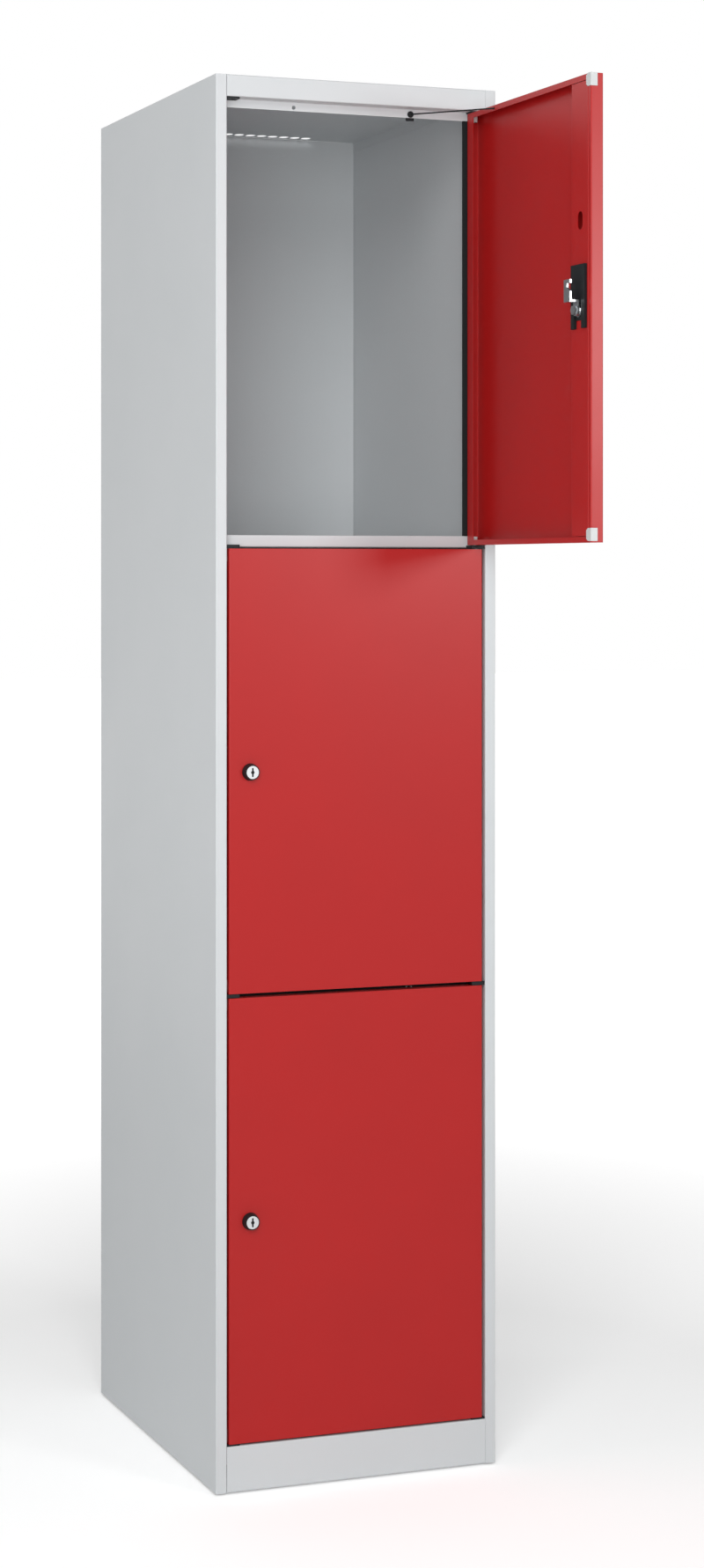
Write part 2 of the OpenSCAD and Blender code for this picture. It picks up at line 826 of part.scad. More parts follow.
function foot_places() = [
    [foot_inset, foot_inset], [body_w - foot_inset, foot_inset],
    [foot_inset, body_d - foot_inset], [body_w - foot_inset, body_d - foot_inset]
];
bracket_t = 3;
foot_screw_l = 32;

// Four plates inside the base that the feet screw into.
module foot_brackets() {
    boss_h = 8;
    boss_d = foot_screw_d + 6;
    low = foot_clear + sheet_t + seam;
    reach = 14;
    color(GREY) from_corner()
        for (p = foot_places())
            difference() {
                union() {
                    block([p[0] < body_w / 2 ? post_w + seam : p[0] - reach,
                           p[1] < body_d / 2 ? flat_from + seam : p[1] - reach, low],
                          [p[0] < body_w / 2 ? p[0] + reach : body_w - post_w - seam,
                           p[1] + reach, low + bracket_t]);
                    translate([p[0], p[1], low]) cylinder(d = boss_d, h = bracket_t + boss_h);
                }
                translate([p[0], p[1], low - over])
                    cylinder(d = foot_screw_d + 0.1, h = bracket_t + boss_h + 2 * over);
            }
}

// A levelling foot: a pad with a bevelled rim on a plain rod that stands for the screw.
module foot(which) {
    p = foot_places()[which];
    gap = 0.3;
    rim = 0.8;
    top = foot_clear - gap;
    color(BLACK) from_corner()
        translate([p[0], p[1], 0])
            rotate_extrude()
                polygon([
                    [0, 0], [foot_d / 2 - rim, 0], [foot_d / 2, rim], [foot_d / 2, top],
                    [foot_screw_d / 2, top], [foot_screw_d / 2, foot_screw_l], [0, foot_screw_l]
                ]);
}

module foot_front_left() {
    foot(0);
}

module foot_front_right() {
    foot(1);
}

module foot_rear_left() {
    foot(2);
}

module foot_rear_right() {
    foot(3);
}

left_side_panel();
right_side_panel();
back_panel();
roof_panel();
floor_panel();
shelf_upper();
shelf_lower();
plinth_front();
rear_cross_member();
hinge_plates_top();
hinge_plates_upper();
hinge_plates_lower();
hinge_plates_bottom();
hinge_pins();
door_seals();
stay_anchors();
stay_cord_top();
stay_cord_middle();
stay_cord_bottom();
foot_brackets();
foot_front_left();
foot_front_right();
foot_rear_left();
foot_rear_right();
door_frame(TOP) color(RED) door_panel();  // door_panel_top
door_frame(MIDDLE) color(RED) door_panel();  // door_panel_middle
door_frame(BOTTOM) color(RED) door_panel();  // door_panel_bottom
door_frame(TOP) color(RED) door_stiffener();  // door_stiffener_top
door_frame(MIDDLE) color(RED) door_stiffener();  // door_stiffener_middle
door_frame(BOTTOM) color(RED) door_stiffener();  // door_stiffener_bottom
door_frame(TOP) color(WHITE) corner_caps();  // corner_caps_top
door_frame(MIDDLE) color(WHITE) corner_caps();  // corner_caps_middle
door_frame(BOTTOM) color(WHITE) corner_caps();  // corner_caps_bottom
door_frame(TOP) color(WHITE) bushings();  // hinge_bushings_top
door_frame(MIDDLE) color(WHITE) bushings();  // hinge_bushings_middle
door_frame(BOTTOM) color(WHITE) bushings();  // hinge_bushings_bottom
door_frame(TOP) color(BLACK) lock_rosette();  // lock_rosette_top
door_frame(MIDDLE) color(BLACK) lock_rosette();  // lock_rosette_middle
door_frame(BOTTOM) color(BLACK) lock_rosette();  // lock_rosette_bottom
door_frame(TOP) color(CHROME) lock_barrel();  // lock_barrel_top
door_frame(MIDDLE) color(CHROME) lock_barrel();  // lock_barrel_middle
door_frame(BOTTOM) color(CHROME) lock_barrel();  // lock_barrel_bottom
door_frame(TOP) color(BLACK) cam_guard();  // cam_guard_top
door_frame(MIDDLE) color(BLACK) cam_guard();  // cam_guard_middle
door_frame(BOTTOM) color(BLACK) cam_guard();  // cam_guard_bottom
door_frame(TOP) color(CHROME) lock_plug();  // lock_plug_top
door_frame(MIDDLE) color(CHROME) lock_plug();  // lock_plug_middle
door_frame(BOTTOM) color(CHROME) lock_plug();  // lock_plug_bottom
door_frame(TOP) color(CHROME) lock_cam();  // lock_cam_top
door_frame(MIDDLE) color(CHROME) lock_cam();  // lock_cam_middle
door_frame(BOTTOM) color(CHROME) lock_cam();  // lock_cam_bottom
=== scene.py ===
import math

import bmesh
import bpy
from bpy.props import FloatProperty, IntProperty, PointerProperty, StringProperty
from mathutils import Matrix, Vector


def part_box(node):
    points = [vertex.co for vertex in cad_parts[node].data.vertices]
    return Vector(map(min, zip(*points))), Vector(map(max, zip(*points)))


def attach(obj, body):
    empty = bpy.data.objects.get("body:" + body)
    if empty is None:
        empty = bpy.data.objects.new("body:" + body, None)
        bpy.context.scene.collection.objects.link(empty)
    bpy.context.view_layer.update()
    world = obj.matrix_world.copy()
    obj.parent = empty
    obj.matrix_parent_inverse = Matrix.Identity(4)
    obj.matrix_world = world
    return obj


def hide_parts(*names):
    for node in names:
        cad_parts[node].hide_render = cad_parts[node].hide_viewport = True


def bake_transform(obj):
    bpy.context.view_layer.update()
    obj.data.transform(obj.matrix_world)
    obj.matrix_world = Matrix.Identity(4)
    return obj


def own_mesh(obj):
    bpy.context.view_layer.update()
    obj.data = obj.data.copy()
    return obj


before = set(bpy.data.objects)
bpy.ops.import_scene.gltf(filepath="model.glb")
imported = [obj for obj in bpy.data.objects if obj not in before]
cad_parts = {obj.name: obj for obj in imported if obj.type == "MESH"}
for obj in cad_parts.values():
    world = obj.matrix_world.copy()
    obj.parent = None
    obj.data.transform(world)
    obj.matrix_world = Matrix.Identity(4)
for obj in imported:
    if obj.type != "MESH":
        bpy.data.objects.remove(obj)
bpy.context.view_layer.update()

bl_info = {
    "name": "Compartment Locker",
    "version": (1, 0, 0),
    "blender": (4, 5, 0),
    "location": "View3D > Sidebar > Locker",
    "description": "Dresses a steel compartment locker with finishes, stays and a plain studio",
    "category": "Object",
}

MM = 0.001
LEVELS = ("top", "middle", "bottom")


# Colours and nodes

def linear(hex_code):
    """Turns an sRGB hex value into a linear colour with full alpha."""
    parts = [int(hex_code[i:i + 2], 16) / 255 for i in (0, 2, 4)]
    return [p / 12.92 if p <= 0.04045 else ((p + 0.055) / 1.055) ** 2.4 for p in parts] + [1.0]


def per_mm(size):
    """The scale of a pattern in object space whose feature is size millimetres wide."""
    return 1 / (size * MM)


def add(owner, kind, settings=None, **links):
    """Adds a node: settings are its attributes, links its inputs, as values or as other nodes' sockets."""
    made = owner.node_tree.nodes.new(kind)
    for name, value in (settings or {}).items():
        setattr(made, name, value)
    for name, value in links.items():
        # A name such as i0 counts the inputs, for nodes whose inputs share one name.
        counted = name[0] == "i" and name[1:].isdigit()
        socket = made.inputs[int(name[1:]) if counted else name.replace("_", " ")]
        if isinstance(value, bpy.types.NodeSocket):
            owner.node_tree.links.new(value, socket)
        else:
            socket.default_value = value
    return made


def new_material(name):
    """An empty material, ready for its nodes."""
    material = bpy.data.materials.new(name)
    material.use_nodes = True
    material.node_tree.nodes.clear()
    return material


def finish_shader(material, **inputs):
    """Ends a material in one Principled shader."""
    shader = add(material, "ShaderNodeBsdfPrincipled", None, **inputs)
    add(material, "ShaderNodeOutputMaterial", None, Surface=shader.outputs["BSDF"])
    return material


def object_place(material):
    """Coordinates in the piece's own space, in metres."""
    return add(material, "ShaderNodeTexCoord").outputs["Object"]


def stretched(material, place, wide, tall):
    """Coordinates for a pattern whose feature is wide millimetres across and tall millimetres high."""
    scale = (per_mm(wide), per_mm(wide), per_mm(tall))
    return add(material, "ShaderNodeMapping", None, Vector=place, Scale=scale).outputs["Vector"]


def clouds(material, place, scale, detail):
    """Soft random clouds between 0 and 1."""
    noise = add(material, "ShaderNodeTexNoise", None, Vector=place, Scale=scale, Detail=detail)
    return noise.outputs["Fac"]


def tinted(material, factor, colour, shade):
    """A colour that turns from one hex value into the other as factor rises from 0 to 1."""
    # A mix node holds its two colours in its inputs 6 and 7.
    mix = add(material, "ShaderNodeMix", {"data_type": "RGBA"}, Factor=factor,
              i6=linear(colour), i7=linear(shade))
    return mix.outputs["Result"]


def relief(material, height, strength, depth):
    """A surface bumped by height, where a height of 1 stands depth metres proud."""
    bump = add(material, "ShaderNodeBump", None, Strength=strength, Distance=depth, Height=height)
    return bump.outputs["Normal"]


def spread(owner, factor, low, high, start=0.0, end=1.0):
    """A value that runs from low to high as factor rises from start to end."""
    node = add(owner, "ShaderNodeMapRange", None, Value=factor, From_Min=start, From_Max=end,
               To_Min=low, To_Max=high)
    return node.outputs["Result"]


def computed(owner, operation, *values):
    """The result of one operation on numbers or sockets."""
    links = {"i" + str(i): value for i, value in enumerate(values)}
    return add(owner, "ShaderNodeMath", {"operation": operation}, **links).outputs["Value"]


# Finishes

# Widths are in millimetres. A coat's shade wanders over a hand's width.
HAND_WIDTH = 140
# The coat's fine grain is this many times narrower than its orange peel, and this share as deep.
GRAIN_FINER = 4
GRAIN_SHARE = 0.25
# The coat's roughness wanders by this much to either side.
COAT_WANDER = 0.03
# Over the waves of a plated face the roughness runs between these shares of its usual value.
PLATED_SLEEK = 0.8
PLATED_DULL = 1.3
# Width of the soft waves that a polishing wheel leaves.
POLISH_WAVE = 4
CHROME_HEX = "D9DBDD"
# Painted shade inside a keyway, and how much rougher the keyway is than the plug's face.
KEYWAY_SHADE_HEX = "0A0B0D"
KEYWAY_SHADE_ROUGHER = 0.7
PLUG_ROUGHNESS = 0.14
# Brightness that the floor reaches far from the object, and the width of its patches.
FLOOR_FAR = 0.95
FLOOR_PATCH = 900


def powder_coat(name, colour, shade, peel_mm, roughness, gleam):
    """Polyester powder coat on sheet steel, sprayed dry and baked."""
    material = new_material(name)
    place = object_place(material)
    # The film is a little thicker in some places, which shifts its shade over a hand's width.
    cloud = clouds(material, place, per_mm(HAND_WIDTH), detail=2.0)
    tint = tinted(material, cloud, colour, shade)
    # Orange peel: the powder flows into low soft waves, which break up reflections.
    peel = clouds(material, place, per_mm(peel_mm), detail=1.0)
    # Fine grain inside the waves gives the satin gloss its soft edge.
    grain = clouds(material, place, per_mm(peel_mm / GRAIN_FINER), detail=2.0)
    both = computed(material, "MULTIPLY_ADD", grain, GRAIN_SHARE, peel)
    bump = relief(material, both, strength=0.25, depth=0.05 * MM)
    gloss = spread(material, cloud, roughness - COAT_WANDER, roughness + COAT_WANDER)
    return finish_shader(material, Base_Color=tint, Roughness=gloss, Normal=bump, IOR=1.5,
                         Specular_IOR_Level=gleam)


def moulded_plastic(name, colour, shade, grain_mm, roughness, gleam=0.5):
    """Injection-moulded polymer with a spark-eroded grain."""
    material = new_material(name)
    place = object_place(material)
    # The mould's eroded texture makes small pits, which keep the gloss low.
    pits = add(material, "ShaderNodeTexVoronoi", {"feature": "SMOOTH_F1"}, Vector=place,
               Scale=per_mm(grain_mm)).outputs["Distance"]
    tint = tinted(material, pits, colour, shade)
    bump = relief(material, pits, strength=0.3, depth=0.03 * MM)
    return finish_shader(material, Base_Color=tint, Roughness=roughness, Normal=bump, IOR=1.49,
                         Specular_IOR_Level=gleam)


def plated_metal(name, colour, shade, wave_mm, roughness):
    """Electroplated metal: polished before plating when smooth, spangled when rough."""
    material = new_material(name)
    place = object_place(material)
    wave = clouds(material, place, per_mm(wave_mm), detail=3.0)
    tint = tinted(material, wave, colour, shade)
    gloss = spread(material, wave, roughness * PLATED_SLEEK, roughness * PLATED_DULL)
    # The plating follows the metal's soft waves, so highlights wander a little.
    bump = relief(material, wave, strength=0.15, depth=0.02 * MM)
    return finish_shader(material, Base_Color=tint, Metallic=1.0, Roughness=gloss, Normal=bump)


def keyed_chrome(name, outward, face):
    """Chrome-plated zinc casting with a keyway in painted shade: face is how far the plated face lies
    along outward.
    """
    material = new_material(name)
    place = object_place(material)
    wave = clouds(material, place, per_mm(POLISH_WAVE), detail=3.0)
    # Inside the keyway the colour is painted near black, matt and not metallic, as painted shade, since
    # hardly any light comes back out of it.
    along = add(material, "ShaderNodeVectorMath", {"operation": "DOT_PRODUCT"}, i0=place, i1=outward)
    inside = computed(material, "COMPARE", along.outputs["Value"], face - KEYWAY_MIDDLE, KEYWAY_HALF)
    tint = tinted(material, inside, CHROME_HEX, KEYWAY_SHADE_HEX)
    plated = computed(material, "SUBTRACT", 1.0, inside)
    gloss = computed(material, "MULTIPLY_ADD", inside, KEYWAY_SHADE_ROUGHER, PLUG_ROUGHNESS)
    # The face follows the polisher's soft waves, so highlights wander a little.
    bump = relief(material, wave, strength=0.15, depth=0.02 * MM)
    return finish_shader(material, Base_Color=tint, Metallic=plated, Roughness=gloss, Normal=bump)


def ground_steel(name):
    """Centreless-ground steel rod."""
    material = new_material(name)
    place = object_place(material)
    # Grinding leaves fine rings round the rod, so the pattern is stretched across it.
    across = stretched(material, place, wide=3, tall=0.15)
    rings = clouds(material, across, 1.0, detail=2.0)
    gloss = spread(material, rings, low=0.22, high=0.38)
    bump = relief(material, rings, strength=0.1, depth=0.01 * MM)
    return finish_shader(material, Base_Color=linear("C9CCCF"), Metallic=1.0, Roughness=gloss,
                         Normal=bump)


def extruded_rubber(name):
    """Extruded EPDM sealing profile."""
    material = new_material(name)
    place = object_place(material)
    # The die drags fine lines along the profile, drawn here up the locker.
    along = stretched(material, place, wide=0.6, tall=60)
    lines = clouds(material, along, 1.0, detail=2.0)
    tint = tinted(material, lines, "131516", "1E2122")
    bump = relief(material, lines, strength=0.3, depth=0.05 * MM)
    return finish_shader(material, Base_Color=tint, Roughness=0.62, Normal=bump, IOR=1.5,
                         Specular_IOR_Level=0.2)


def braided_nylon(name, strands):
    """Braided polyamide cord: strands is how many run each way round it."""
    material = new_material(name)
    place = add(material, "ShaderNodeUVMap").outputs["UV"]
    # Strands cross on both diagonals of the cord; their crests are bumped and painted lighter, a small
    # painted highlight at each crossing.
    # Diagonal bands repeat every two pi over ten units, and a cord 2 mm thick is two pi mm round.
    scale = strands * per_mm(10)
    bands = {"wave_type": "BANDS", "bands_direction": "DIAGONAL"}
    left = add(material, "ShaderNodeTexWave", bands, Vector=place, Scale=scale).outputs["Fac"]
    flip = add(material, "ShaderNodeMapping", None, Vector=place, Scale=(-1.0, 1.0, 1.0))
    right = add(material, "ShaderNodeTexWave", bands, Vector=flip.outputs["Vector"], Scale=scale)
    weave = computed(material, "MAXIMUM", left, right.outputs["Fac"])
    tint = tinted(material, weave, "0B0C0D", "1C1E20")
    bump = relief(material, weave, strength=0.6, depth=0.15 * MM)
    return finish_shader(material, Base_Color=tint, Roughness=0.7, Normal=bump, IOR=1.53,
                         Specular_IOR_Level=0.2)


def studio_floor(name, colour, lift, gloss_lift):
    """A painted studio floor, drawn bright to the camera, with the object's shadow kept."""
    material = new_material(name)
    place = object_place(material)
    cloud = clouds(material, place, per_mm(FLOOR_PATCH), detail=2.0)
    tint = tinted(material, cloud, colour, "FBFBFB")
    rays = add(material, "ShaderNodeLightPath").outputs
    # Far from the object, distances in metres, the floor runs into the white of the room.
    away = add(material, "ShaderNodeVectorMath", {"operation": "LENGTH"}, i0=place).outputs["Value"]
    near = spread(material, away, lift, FLOOR_FAR, start=0.8, end=3.5)
    seen = computed(material, "MULTIPLY", rays["Is Camera Ray"], near)
    # Shiny parts see it darker near the object, so that the doors stay deep in colour low down.
    mirrored = spread(material, away, gloss_lift, FLOOR_FAR, start=3.0, end=8.0)
    shone = computed(material, "MAXIMUM", rays["Is Glossy Ray"], rays["Is Transmission Ray"])
    bright = computed(material, "MULTIPLY_ADD", shone, mirrored, seen)
    return finish_shader(material, Base_Color=tint, Roughness=0.9, IOR=1.2,
                         Emission_Color=linear("FFFFFF"), Emission_Strength=bright)


# Settings that a user would change

class LockerFinishes(bpy.types.PropertyGroup):
    carcass_hex: StringProperty(
        name="Carcass colour", default="C9CCCE",
        description="Powder coat of the carcass, as an sRGB hex value")
    door_hex: StringProperty(
        name="Door colour", default="AE1A1A",
        description="Powder coat of the doors, as an sRGB hex value")
    plastic_hex: StringProperty(
        name="Plastic colour", default="141618",
        description="Bearing plates, anchors, rosettes and guards, as an sRGB hex value")
    peel_width: FloatProperty(
        name="Orange peel", default=1.6, min=0.4, max=6,
        description="Width of one wave in the powder coat, in millimetres")
    fold_bevel: FloatProperty(
        name="Edge rounding", default=0.25 * MM, min=0.0, max=0.5 * MM, unit="LENGTH", precision=5,
        description="Rounding of the cut sheet edges")


class LockerStays(bpy.types.PropertyGroup):
    cord_width: FloatProperty(
        name="Cord diameter", default=2 * MM, min=1 * MM, max=3 * MM, unit="LENGTH", precision=5,
        description="Diameter of the braided stay cord")
    sides: IntProperty(
        name="Cord sides", default=16, min=8, max=32,
        description="Number of sides of the cord's tube")


class LockerStudio(bpy.types.PropertyGroup):
    floor_hex: StringProperty(
        name="Floor colour", default="F4F4F4",
        description="Studio floor, as an sRGB hex value")
    floor_lift: FloatProperty(
        name="Floor lift", default=0.3, min=0, max=1,
        description="Brightness added where the camera sees the floor")
    floor_gloss: FloatProperty(
        name="Floor in gloss", default=0.1, min=0, max=1,
        description="Brightness added where shiny parts see the floor")
    world_level: FloatProperty(
        name="Room light", default=0.3, min=0, max=2,
        description="Strength of the even light from all round")
    key_power: FloatProperty(
        name="Key light", default=59, min=0, max=2000, unit="POWER",
        description="Power of the large high light, front left")
    near_power: FloatProperty(
        name="Near light", default=30, min=0, max=2000, unit="POWER",
        description="Power of the light at eye height, front left")
    side_power: FloatProperty(
        name="Side light", default=28, min=0, max=2000, unit="POWER",
        description="Power of the light on the left")
    card_power: FloatProperty(
        name="Reflector", default=42, min=0, max=2000, unit="POWER",
        description="Power of the small light that shines in the open door's edge")
    lens: FloatProperty(
        name="Focal length", default=67.76, min=20, max=200,
        description="Focal length of the camera, in millimetres")


# Places of the stays, from the part's source, in metres and in millimetres from the anchor

STAY_ANCHOR = (0.088, -0.248)
MIDDLE_STAY = 1.2948
BOTTOM_STAY = 0.6768
TOP_STAY = ((0.088969, -0.25151, 1.9128), (0.181507, -0.347978, 1.9128))
# The taut stay's points: shares of its length, then millimetres before its end, where the knot lies.
TAUT_SHARES = (0, 0.25, 0.5, 0.75)
TAUT_KNOT = (5.0, 3.6, 2.2, 0.0)
STAY_ROUTE = (
    (4.9, 4.7, 0), (7.2, 4.4, 0), (9.8, 3.2, 0), (11.8, 1.2, 0), (12.8, -1.6, 0), (13, -4.6, 0),
    (13, -7, -0.3), (13, -9.4, -2.2), (13, -11, -6), (13, -11.6, -11), (13.4, -11.4, -20),
    (14.2, -11.2, -32), (14.8, -11.2, -45), (14.6, -11.3, -58), (14, -11.4, -71), (13.6, -11.5, -84),
    (13.5, -11.5, -94), (13.5, -11.5, -111), (13.5, -11.5, -113), (13.5, -11.5, -114.5),
    (13.5, -11.5, -116),
)
# The point of the route that lies just inside the door's lip.
STAY_SPLIT = 6
# A route's last points make its knot, whose radius is larger than the cord's by up to KNOT_SWELL of it.
KNOT_POINTS = 4
KNOT_SWELL = 1.6
# Steps of the smooth curve from one point to the next.
SPAN_STEPS = 4
# Strands of the braid that run each way round a cord.
STRANDS = 8


# Places of the black strips that paint shade into the gaps, in metres

# The middle of the gap between two doors lies this far under the shelf's top.
GAP_UNDER_SHELF = 16 * MM
# The strip's edges, and the cut-out's edge over the anchor's head, lie this far under the gap's middle.
STRIP_TOP = 1.3 * MM
STRIP_FOOT = 4.9 * MM
STRIP_OVER_HEAD = 2.6 * MM
# Half the width of the cut-out, which clears the anchor's head.
HEAD_CLEAR = 5 * MM
# How far the strip reaches to either side of the locker's middle.
STRIP_REACH = 177 * MM
STRIP_THICK = 1.0 * MM
# The strip of painted shade lies on the shelf's lower front, which stands a step behind its upper front.
SHELF_LOWER_FRONT = -0.242


# The locks' faces: how far they stand before the pivot axis, and the keyway's depths behind them, where
# its shade is painted

PIVOT = (0.182, -0.2605)
TOP_ANGLE = math.radians(91)
PLUG_FACE = 19.6 * MM
KEYWAY_MIDDLE = 0.95 * MM
KEYWAY_HALF = 0.75 * MM


# Rounding of edges: moulded plastic and pressed cams, the thicker guards, and cast or stamped metal

MOULDED_EDGE = 0.3 * MM
GUARD_EDGE = 0.4 * MM
CAST_EDGE = 0.2 * MM


# The photograph's size and the lens's axis in it, in pixels, and where its camera stood, in metres

PHOTO_WIDE = 800
PHOTO_TALL = 1782
AXIS_ACROSS = 331
AXIS_DOWN = 652
CAMERA_PLACE = (-1.5386, -4.0896, 1.2644)
# The way that the camera looks, seen from above.
CAMERA_HEADING = (0.3525, 0.9358)
# Width of the camera's sensor, in millimetres.
SENSOR_WIDTH = 36
# Half the side of the square floor, in metres.
FLOOR_HALF = 30.0


# Small tools for pieces

def finish_node(name, material):
    """Gives a CAD node its material."""
    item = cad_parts[name]
    item.data.materials.clear()
    item.data.materials.append(material)
    return item


def soften(item, width, angle=35):
    """Rounds the cut edges of a sheet a little and keeps its flats flat."""
    bevel = item.modifiers.new("cut edges", "BEVEL")
    bevel.width = width
    bevel.segments = 2
    bevel.limit_method = "ANGLE"
    bevel.angle_limit = math.radians(angle)
    bevel.harden_normals = True
    bevel.use_clamp_overlap = True


def object_from(name, form):
    """Turns a bmesh into an object of the scene."""
    mesh = bpy.data.meshes.new(name)
    bmesh.ops.recalc_face_normals(form, faces=form.faces)
    form.to_mesh(mesh)
    form.free()
    item = bpy.data.objects.new(name, mesh)
    bpy.context.scene.collection.objects.link(item)
    return item


def tube_mesh(name, path, radii, sides):
    """A closed tube, with texture coordinates in metres along it and, as if 2 mm thick, round it."""
    form = bmesh.new()
    wrap = form.loops.layers.uv.new("UVMap")
    rings = []
    far = []
    gone = 0.0
    count = len(path)
    ahead = (path[1] - path[0]).normalized()
    across = ahead.orthogonal().normalized()
    for i, point in enumerate(path):
        heading = (path[min(i + 1, count - 1)] - path[max(i - 1, 0)]).normalized()
        turn = ahead.rotation_difference(heading)
        across = turn @ across
        across = (across - heading * across.dot(heading)).normalized()
        ahead = heading
        up = heading.cross(across)
        if i:
            gone += (point - path[i - 1]).length
        far.append(gone)
        rings.append([
            form.verts.new(point + radii[i] * (math.cos(a) * across + math.sin(a) * up))
            for a in (2 * math.pi * k / sides for k in range(sides))
        ])
    for i in range(count - 1):
        for k in range(sides):
            q = (k + 1) % sides
            face = form.faces.new([rings[i][k], rings[i][q], rings[i + 1][q], rings[i + 1][k]])
            face.smooth = True
            round_at = [k, k + 1, k + 1, k]
            along_at = [i, i, i + 1, i + 1]
            for loop, r, s in zip(face.loops, round_at, along_at):
                loop[wrap].uv = (2 * math.pi * r / sides * MM, far[s])
    form.faces.new(list(reversed(rings[0])))
    form.faces.new(rings[-1])
    return object_from(name, form)


def smooth_path(points, per_span):
    """A smooth curve through the given points."""
    out = []
    count = len(points)
    for i in range(count - 1):
        a, b = points[max(i - 1, 0)], points[i]
        c, d = points[i + 1], points[min(i + 2, count - 1)]
        for step in range(per_span):
            t = step / per_span
            out.append(0.5 * (2 * b + (c - a) * t + (2 * a - 5 * b + 4 * c - d) * t * t
                              + (3 * b - a - 3 * c + d) * t ** 3))
    out.append(points[-1].copy())
    return out


# Pieces

class LOCKER_OT_sheet_metal(bpy.types.Operator):
    """Powder-coats the folded carcass and the doors"""
    bl_idname = "locker.sheet_metal"
    bl_label = "Sheet metal"

    def execute(self, context):
        look = context.scene.locker_finishes
        grey = powder_coat("light grey polyester powder coat", look.carcass_hex, "C5C9CB",
                           look.peel_width, roughness=0.42, gleam=0.5)
        red = powder_coat("flame red polyester powder coat", look.door_hex, "A61919",
                          look.peel_width, roughness=0.31, gleam=0.3)
        carcass = ["left_side_panel", "right_side_panel", "back_panel", "roof_panel", "floor_panel",
                   "shelf_upper", "shelf_lower", "plinth_front", "rear_cross_member"]
        doors = [part + level for part in ("door_panel_", "door_stiffener_") for level in LEVELS]
        for names, coat in ((carcass, grey), (doors, red)):
            for name in names:
                soften(finish_node(name, coat), look.fold_bevel)
        return {"FINISHED"}


class LOCKER_OT_hinges(bpy.types.Operator):
    """Finishes the bearing plates, pins, bushings, corner caps and seals"""
    bl_idname = "locker.hinges"
    bl_label = "Hinges and trim"

    def execute(self, context):
        look = context.scene.locker_finishes
        black = moulded_plastic("black moulded polyamide", look.plastic_hex, "1E2022", grain_mm=0.6,
                                roughness=0.5, gleam=0.2)
        white = moulded_plastic("light grey moulded polyamide", "C8CBCB", "BFC2C2", grain_mm=0.6,
                                roughness=0.42)
        rubber = extruded_rubber("black extruded EPDM rubber")
        steel = ground_steel("ground steel rod")
        for place in ("top", "upper", "lower", "bottom"):
            soften(finish_node("hinge_plates_" + place, black), MOULDED_EDGE)
        for level in LEVELS:
            soften(finish_node("corner_caps_" + level, white), MOULDED_EDGE)
            finish_node("hinge_bushings_" + level, white)
        finish_node("hinge_pins", steel)
        finish_node("door_seals", rubber)
        finish_node("stay_anchors", black)
        return {"FINISHED"}


class LOCKER_OT_gap_strips(bpy.types.Operator):
    """Builds black strips on the shelves' fronts, behind the gaps over the two lower doors, as painted
    shade in these gaps
    """
    bl_idname = "locker.gap_strips"
    bl_label = "Painted gap shade"

    def execute(self, context):
        # These black strips are painted shade: a dark sheet where the gaps hold only shadow.
        rubber = extruded_rubber("black strip as painted shade in the gaps")
        for place in ("upper", "lower"):
            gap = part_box("shelf_" + place)[1][2] - GAP_UNDER_SHELF
            low, high, over_head = gap - STRIP_FOOT, gap - STRIP_TOP, gap - STRIP_OVER_HEAD
            face = SHELF_LOWER_FRONT - STRIP_THICK
            # The strip is cut out round the head of the stay's anchor.
            cut_from, cut_to = STAY_ANCHOR[0] - HEAD_CLEAR, STAY_ANCHOR[0] + HEAD_CLEAR
            outline = [(-STRIP_REACH, low), (cut_from, low), (cut_from, over_head), (cut_to, over_head),
                       (cut_to, low), (STRIP_REACH, low), (STRIP_REACH, high), (-STRIP_REACH, high)]
            form = bmesh.new()
            front = form.faces.new([form.verts.new((x, face, z)) for x, z in outline])
            made = bmesh.ops.extrude_face_region(form, geom=[front])["geom"]
            rear = [part for part in made if isinstance(part, bmesh.types.BMVert)]
            bmesh.ops.translate(form, vec=(0, STRIP_THICK, 0), verts=rear)
            item = object_from("painted_gap_shade_" + place, form)
            item.data.materials.append(rubber)
            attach(item, "carcass")
        return {"FINISHED"}


class LOCKER_OT_locks(bpy.types.Operator):
    """Finishes the cam locks and their guards"""
    bl_idname = "locker.locks"
    bl_label = "Locks"

    def execute(self, context):
        look = context.scene.locker_finishes
        black = moulded_plastic("black moulded acetal", look.plastic_hex, "1E2123", grain_mm=0.5,
                                roughness=0.45, gleam=0.2)
        chrome = plated_metal("chrome-plated zinc casting", CHROME_HEX, "CFD1D4", POLISH_WAVE,
                              roughness=0.12)
        # The top door stands open, so its lock faces another way.
        ways = {"top": (math.sin(TOP_ANGLE), -math.cos(TOP_ANGLE), 0.0)}
        zinc = plated_metal("bright zinc-plated steel", "C6CACC", "B2B7BA", wave_mm=1.2, roughness=0.3)
        for level in LEVELS:
            soften(finish_node("lock_rosette_" + level, black), MOULDED_EDGE)
            soften(finish_node("cam_guard_" + level, black), GUARD_EDGE)
            soften(finish_node("lock_barrel_" + level, chrome), CAST_EDGE)
            outward = ways.get(level, (0.0, -1.0, 0.0))
            face = PIVOT[0] * outward[0] + PIVOT[1] * outward[1] + PLUG_FACE
            keyed = keyed_chrome("chrome-plated lock plug, " + level, outward, face)
            soften(finish_node("lock_plug_" + level, keyed), CAST_EDGE)
            soften(finish_node("lock_cam_" + level, zinc), MOULDED_EDGE)
        return {"FINISHED"}


class LOCKER_OT_feet(bpy.types.Operator):
    """Finishes the levelling feet and their brackets"""
    bl_idname = "locker.feet"
    bl_label = "Feet"

    def execute(self, context):
        black = moulded_plastic("black moulded polypropylene", "202224", "2A2C2E", grain_mm=0.8,
                                roughness=0.6)
        zinc = plated_metal("zinc-plated sheet steel", "AEB4B7", "9DA3A7", wave_mm=6, roughness=0.4)
        for place in ("front_left", "front_right", "rear_left", "rear_right"):
            soften(finish_node("foot_" + place, black), MOULDED_EDGE)
        soften(finish_node("foot_brackets", zinc), CAST_EDGE)
        return {"FINISHED"}


